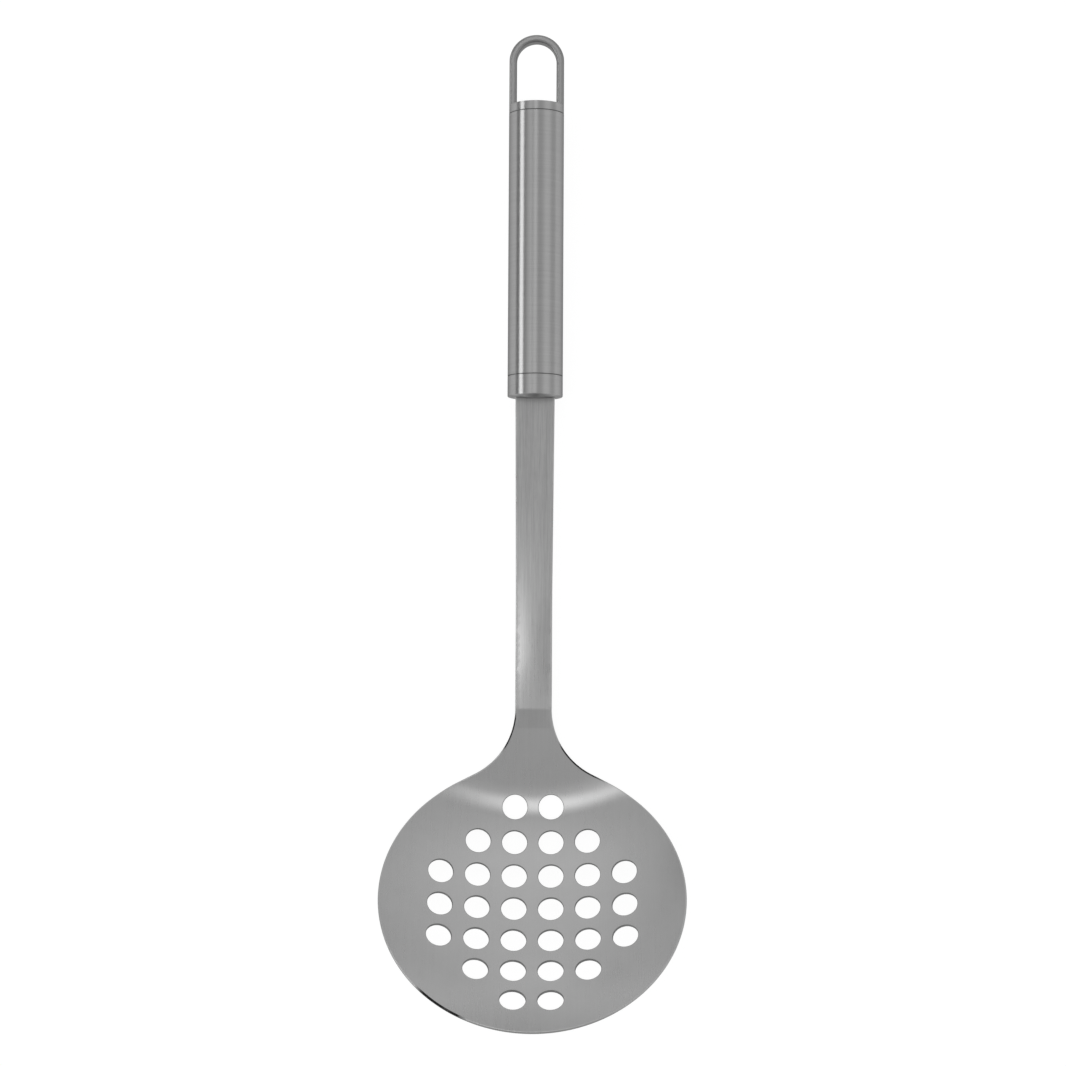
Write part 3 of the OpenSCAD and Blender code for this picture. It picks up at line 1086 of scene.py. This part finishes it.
@dataclass
class RearCap(Cap):
    """Thin cap at the loop, with a notch for each leg."""

    segments: int = 96
    start: float = 104.0
    length: float = 3.2
    notch_x: float = 7.15
    notch_w: float = 5.1
    arc_steps: int = 72
    edge_steps: int = 3

    def outline(self) -> tuple[np.ndarray, np.ndarray, np.ndarray]:
        """Draws the notched disc, seen along the handle.

        Returns:
            Points, their normals, and the directions in which each moves for an inset of 1.
        """
        half = self.notch_w / 2
        first = math.asin(half / self.handle_r)
        arc = np.linspace(first, math.pi - first, self.arc_steps)
        points, normals, mitres = [], [], []
        for turn in (1.0, -1.0):
            facing = np.c_[np.cos(arc), np.sin(arc)] * turn
            ring = self.handle_r * facing
            side, floor = np.array([0.0, -turn]), np.array([-turn, 0.0])
            moves = facing.copy()
            for end in (0, -1):
                moves[end] = (facing[end] + side) / (1.0 + facing[end] @ side)
            corner = np.array([-turn * self.notch_x, turn * half])
            far = np.array([-turn * self.notch_x, -turn * half])
            points += [*ring, ring[-1], corner, corner, far, far, -ring[0]]
            normals += [*facing, side, side, floor, floor, -side, -side]
            mitres += [*moves, moves[-1], side + floor, side + floor, floor - side, floor - side, -moves[0]]
        return np.array(points), np.array(normals), np.array(mitres)

    def shape(self) -> Shell:
        """Draws the notched disc with rounded edges, and the spigot behind it.

        Returns:
            The drawn piece.
        """
        shell = Shell("rear_end")
        points, normals, mitres = self.outline()
        e, end = self.seam_r, self.start + self.length
        quarter = np.linspace(0.0, math.pi / 2, self.edge_steps + 1)
        rows = []
        for middle, first in ((self.start + e, 0.0), (end - e, math.pi / 2)):
            for a in first + quarter:
                inset, along = e - e * math.sin(a), middle - e * math.cos(a)
                ring = points - mitres * inset
                grain = np.c_[np.full(len(ring), along - inset),
                              self.handle_r * np.arctan2(ring[:, 1], ring[:, 0])]
                at_seam = first == 0 and 0 < a < math.pi / 2
                rows.append(shell.add(stood(ring, along), stood(normals * math.sin(a), -math.cos(a)), grain,
                                      self.seam_tone if at_seam else 0.0))
        shell.bridge(rows, True)
        ring = points - mitres * e
        flat = ring[[i for i in range(len(ring)) if np.linalg.norm(ring[i] - ring[i - 1]) > SAME_SPOT]]
        net = filled(flat, [np.arange(len(flat))])
        for along, way in ((self.start, -1.0), (end, 1.0)):
            shell.fill(shell.add(stood(flat, along), stood(0.0 * flat, way), flat), net)
        inner, deep = self.spigot_r - self.spigot_wall, self.start - self.spigot_len
        self.turned(shell, [(inner, self.start, 0.0), (inner, deep, 0.0), (self.spigot_r, deep, 0.0),
                            (self.spigot_r, self.start, 0.0)])
        return shell


@dataclass
class HangingLoop(HandlePiece):
    """Strap bent to a U, its legs flush with the handle."""

    start: float = 104.0
    top: float = 133.2
    strap_t: float = 2.8
    strap_depth: float = 5.0
    strap_flat: float = 0.35
    edge_r: float = 1.1
    edge_steps: int = 7
    leg_steps: int = 26
    bow_steps: int = 66

    def section(self) -> tuple[np.ndarray, np.ndarray]:
        """Draws the strap's section: outwards from the loop, and across its depth.

        Returns:
            Points and normals of the closed section.
        """
        a, b, e = self.strap_t / 2, self.strap_depth / 2, self.edge_r
        flat = b * self.strap_flat
        corners = [(0.0, -b, 0.0), (a, -b, e), (a, -flat, 0.0), (a, flat, 0.0), (a, b, e), (-a, b, e),
                   (-a, -b, e), (0.0, -b, 0.0)]
        points, normals, _ = rounded_path(corners, self.edge_steps)
        keep = np.linalg.norm(np.diff(points, axis=0), axis=1) > SAME_SPOT
        return points[:-1][keep], normals[:-1][keep]

    def stations(self) -> list[tuple[float, float, float, float]]:
        """Gives the places of the section along the strap.

        Returns:
            Each place across and along the handle, with the direction outwards from the loop.
        """
        mean, centre = self.handle_r - self.strap_t / 2, self.top - self.handle_r
        legs = np.linspace(self.start, centre, self.leg_steps)
        bow = np.linspace(0.0, math.pi, self.bow_steps)[1:-1]
        places = [(mean, y, 1.0, 0.0) for y in legs]
        places += [(mean * math.cos(a), centre + mean * math.sin(a), math.cos(a), math.sin(a)) for a in bow]
        return places + [(-mean, y, -1.0, 0.0) for y in legs[::-1]]

    def shape(self) -> Shell:
        """Draws the strap along the legs and the half round top, cut off where it would pass the handle.

        Returns:
            The drawn piece.
        """
        shell = Shell("loop_strap")
        points, normals = self.section()
        stations, r = self.stations(), self.handle_r
        around = np.linspace(0.0, 2 * (self.strap_t + self.strap_depth), len(points))
        rows, length = [], 0.0
        for last, (x, y, nx, ny) in zip(stations[:1] + stations, stations):
            length += math.hypot(x - last[0], y - last[1])
            ring = np.c_[x + points[:, 0] * nx, y + points[:, 0] * ny, points[:, 1]]
            facing = np.c_[normals[:, 0] * nx, normals[:, 0] * ny, normals[:, 1]]
            past = np.hypot(ring[:, 0], ring[:, 2]) > r
            limit = np.sqrt(np.maximum(r * r - ring[:, 2] ** 2, 0.0)) * np.sign(ring[:, 0])
            ring[past, 0] = limit[past]
            facing[past] = ring[past] * np.array([1.0, 0.0, 1.0])
            rows.append(shell.add(ring, facing, np.c_[around, np.full(len(ring), length)]))
        shell.bridge(rows, True)
        for row, station in ((0, stations[0]), (-1, stations[-1])):
            ring = np.vstack([shell.points[row], [[station[0], self.start, 0.0]]])
            ids = shell.add(ring, np.tile((0.0, -1.0, 0.0), (len(ring), 1)), ring[:, [0, 2]])
            count = len(ring) - 1
            shell.faces += [(ids[i], ids[(i + 1) % count], ids[count]) for i in range(count)]
        return shell


# Studio


@dataclass(frozen=True)
class Softbox:
    """A soft panel of the studio, seen from the tool: bearing about the handle axis, and lean along it."""

    name: str
    bearing: float
    width: float
    blur: float
    lean: float
    spread: float
    fade: float
    strength: float


@dataclass(frozen=True)
class PanelLamp:
    """The one panel that hangs so near that each place of the tool sees it elsewhere."""

    name: str = "overhead_near"
    aim: tuple[float, float, float] = (-2.0, -37.0, 8.0)
    bearing: float = -17.0
    distance: float = 260.0
    width: float = 62.0
    length: float = 54.0
    radiance: float = 1.6
    watts_per_area: float = 4.0

    def build(self) -> bpy.types.Object:
        """Hangs the lamp.

        Returns:
            The lamp.
        """
        data = bpy.data.lights.new(self.name, "AREA")
        data.shape = "RECTANGLE"
        data.size = self.width * MM
        data.size_y = self.length * MM
        data.energy = self.radiance * self.watts_per_area * data.size * data.size_y
        lamp = bpy.data.objects.new(self.name, data)
        turn = math.radians(self.bearing)
        way = Vector((math.sin(turn), 0.0, math.cos(turn)))
        lamp.location = (Vector(self.aim) + self.distance * way) * MM
        lamp.rotation_euler = (0.0, turn, 0.0)
        lamp.visible_camera = False
        bpy.context.scene.collection.objects.link(lamp)
        return lamp


@dataclass
class Studio:
    """White floor, soft panels around the tool and the camera above it."""

    ambient: float = 0.53
    # A panel's name, bearing, width, blur, lean, spread, fade and strength, which darkens below 0
    panels: list[Softbox] = field(default_factory=lambda: [
        Softbox("overhead", -2.3, 14.6, 13.0, 17.8, 17.4, 11.5, 2.24),
        Softbox("overhead_left", -24.5, 24.8, 20.0, -1.9, 52.0, 14.0, 0.56),
        Softbox("left_strip", -62.0, 17.6, 4.4, -1.8, 60.1, 31.4, 3.25),
        Softbox("left_gap", -58.2, 16.7, 4.3, 7.7, 86.5, 41.7, -0.66),
        Softbox("left_flag", -85.8, 30.7, 8.5, -3.4, 53.9, 30.3, -0.35),
        Softbox("overhead_low", -2.0, 8.0, 6.0, -1.0, 7.0, 6.0, 0.42),
        Softbox("overhead_flag", -14.0, 10.0, 7.0, 11.0, 9.0, 5.0, -1.1),
        Softbox("right_gap", 17.0, 12.0, 6.0, 2.0, 8.0, 6.0, -0.42),
        Softbox("right", 49.0, 30.0, 20.0, -1.7, 60.0, 13.7, 0.42),
        Softbox("right_broad", 52.0, 96.0, 50.0, -1.7, 60.0, 13.7, 0.22),
        Softbox("front", 0.0, 80.0, 60.0, -26.0, 14.0, 12.0, 0.05),
        Softbox("far", -1.4, 150.0, 110.0, 75.0, 76.0, 33.0, 0.46),
        Softbox("far_high", 0.0, 50.0, 40.0, 47.0, 12.0, 12.0, 0.18),
        Softbox("far_low", 0.0, 200.0, 60.0, 88.0, 12.0, 10.0, 0.25),
    ])
    near: PanelLamp = field(default_factory=PanelLamp)
    floor_reach: float = 3000.0
    floor_drop: float = 0.3
    floor_pale: float = 0.86
    floor_shade: float = 0.12
    floor_white: float = 0.92
    camera_at: tuple[float, float, float] = (3.92, -102.89, 943.57)
    camera_turn: tuple[float, float, float] = (6.04206, 0.23857, 0.30807)
    camera_lens: float = 88.14
    camera_sensor: float = 36.0
    camera_sees: tuple[float, float] = (50.0, 20000.0)

    def floor_finish(self) -> bpy.types.Material:
        """Makes the floor's material: white with the tool's shadow where it is seen, pale to other light.

        Returns:
            The new material.
        """
        made = bpy.data.materials.new("white_floor")
        made.use_nodes = True
        made.node_tree.nodes.clear()
        wires = Wiring(made.node_tree)
        path = wires.add("LightPath").outputs
        mirrored = wires.math("MAXIMUM", path["Is Glossy Ray"], path["Is Transmission Ray"])
        seen = wires.math("MAXIMUM", path["Is Camera Ray"], mirrored)
        pale = wires.add("BsdfDiffuse", {"Color": plain_grey(self.floor_pale)})
        shade = wires.add("BsdfDiffuse", {"Color": plain_grey(self.floor_shade)})
        white = wires.add("Emission", {"Strength": self.floor_white})
        both = wires.add("AddShader", {0: white.outputs[0], 1: shade.outputs[0]})
        mixed = wires.add("MixShader", {0: seen, 1: pale.outputs[0], 2: both.outputs[0]})
        wires.add("OutputMaterial", {"Surface": mixed.outputs[0]})
        return made

    def floor(self) -> bpy.types.Object:
        """Lays the floor.

        Returns:
            The floor.
        """
        reach, level = self.floor_reach * MM, -self.floor_drop * MM
        ways = ((-1, -1), (1, -1), (1, 1), (-1, 1))
        corners = [(x * reach, y * reach, level) for x, y in ways]
        mesh = bpy.data.meshes.new("floor")
        mesh.from_pydata(corners, [], [(0, 1, 2, 3)])
        mesh.materials.append(self.floor_finish())
        floor = bpy.data.objects.new("floor", mesh)
        bpy.context.scene.collection.objects.link(floor)
        return floor

    def light(self) -> None:
        """Surrounds the tool with an even light and the soft panels, and hangs the near one."""
        world = bpy.data.worlds.new("studio")
        bpy.context.scene.world = world
        world.use_nodes = True
        world.node_tree.nodes.clear()
        wires = Wiring(world.node_tree)
        way = wires.add("TexCoord").outputs["Generated"]
        x, y, z = wires.add("SeparateXYZ", {0: way}).outputs
        bearing = wires.math("DEGREES", wires.math("ARCTAN2", x, z))
        lean = wires.math("DEGREES", wires.math("ARCSINE", y))
        shares = []
        for panel in self.panels:
            beside = self.window(wires, bearing, panel.bearing, panel.width, panel.blur)
            along = self.window(wires, lean, panel.lean, panel.spread, panel.fade)
            shares.append(wires.scaled(wires.scaled(beside, along), panel.strength))
        seen = wires.add("LightPath").outputs["Is Camera Ray"]
        lit = wires.total(self.ambient, *shares)
        strength = wires.add("Mix", {0: seen, 2: lit, 3: 1.0}, data_type="FLOAT")
        back = wires.add("Background", {"Color": plain_grey(1.0), "Strength": strength.outputs[0]})
        wires.add("OutputWorld", {"Surface": back.outputs[0]})
        self.near.build()

    def window(self, wires: Wiring, angle: bpy.types.NodeSocket, middle: float, width: float,
               blur: float) -> bpy.types.NodeSocket:
        """Adds a soft window over an angle.

        Args:
            wires: Node tree that takes it.
            angle: Socket of the angle.
            middle: Middle of the window.
            width: Width of the window.
            blur: Width over which it fades.

        Returns:
            The socket of its value, 0 to 1.
        """
        off = wires.math("ABSOLUTE", wires.math("SUBTRACT", angle, middle))
        limits = {"From Min": (width + blur) / 2, "From Max": max((width - blur) / 2, 0.0)}
        return wires.add("MapRange", {"Value": off} | limits, interpolation_type="SMOOTHSTEP").outputs[0]

    def camera(self) -> bpy.types.Object:
        """Hangs the camera over the tool, where the photograph was taken from.

        Returns:
            The camera.
        """
        data = bpy.data.cameras.new("camera")
        data.sensor_width = self.camera_sensor
        data.lens = self.camera_lens
        data.clip_start, data.clip_end = (reach * MM for reach in self.camera_sees)
        camera = bpy.data.objects.new("camera", data)
        camera.location = Vector(self.camera_at) * MM
        camera.rotation_euler = Euler([math.radians(turn) for turn in self.camera_turn], "XYZ")
        bpy.context.scene.collection.objects.link(camera)
        bpy.context.scene.camera = camera
        return camera


def main() -> None:
    """Builds the studio and the pieces in order."""
    logging.basicConfig(level=logging.INFO, format="%(name)s: %(message)s")
    bpy.context.scene.view_settings.view_transform = "Standard"
    effects = Effects()
    studio = Studio()
    studio.camera()
    studio.floor()
    studio.light()
    blade = SteelFinish("blade_satin", line_tone=0.85, pressed_lines=0.15)
    grip = SteelFinish("grip_brushed", grey=0.385, roughness=0.36, anisotropy=1.0, rim_tint=0.42,
                       line_depth=0.02)
    strap = SteelFinish("strap_satin", grey=0.23, roughness=0.32)
    for piece in (Blade("blade", "blade_steel", blade), FrontCap("front_cap", "handle_steel", grip),
                  HandleTube("handle_tube", "handle_steel", grip), RearCap("rear_cap", "handle_steel", grip),
                  HangingLoop("hanging_loop", "loop_steel", strap)):
        piece.build(effects)


if __name__ == "__main__":
    main()
